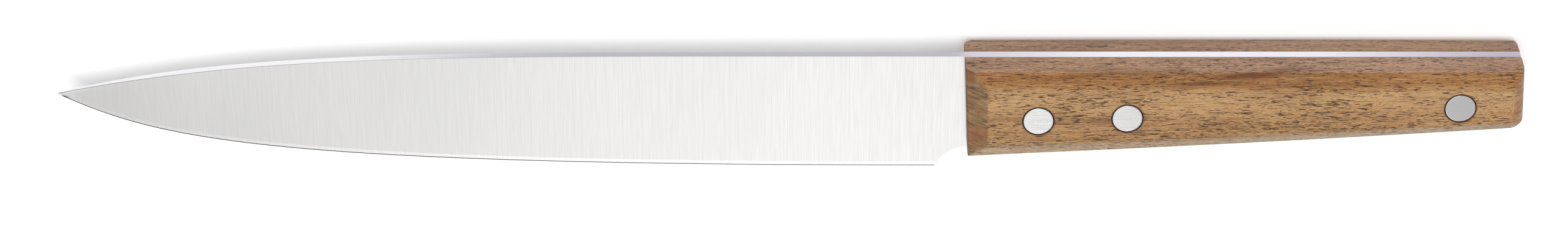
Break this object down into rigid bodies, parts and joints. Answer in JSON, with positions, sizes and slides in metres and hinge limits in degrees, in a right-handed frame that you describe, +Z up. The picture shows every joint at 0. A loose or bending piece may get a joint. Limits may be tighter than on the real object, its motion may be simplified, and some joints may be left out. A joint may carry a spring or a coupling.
{
  "type": "carving knife",
  "caption": "Carving knife with a long straight-backed blade and a full tang between two chamfered wooden scales held by flush rivets.",
  "frame": {"origin": "bottom centre of the bounding box, with the knife lying flat on its right scale", "axes": "+X from the tip of the blade to the butt of the handle, +Y from the cutting edge to the spine, +Z up through the thickness of the handle, towards the left scale"},
  "size_m": [0.323, 0.0284, 0.0185],
  "materials": {
    "blade_steel": "satin brushed across the blade, bright along the sharpened bevel",
    "scale_wood": "oiled open-grained hardwood with dark streaks along the handle",
    "rivet_metal": "ground flush with the scales, satin"
  },
  "bodies": {
    "root": {"blade": "blade_steel", "left_scale": "scale_wood", "right_scale": "scale_wood", "front_rivet_barrel": "rivet_metal", "front_rivet_pin": "rivet_metal", "middle_rivet_barrel": "rivet_metal", "middle_rivet_pin": "rivet_metal", "rear_rivet_barrel": "rivet_metal", "rear_rivet_pin": "rivet_metal"}
  },
  "joints": []
}
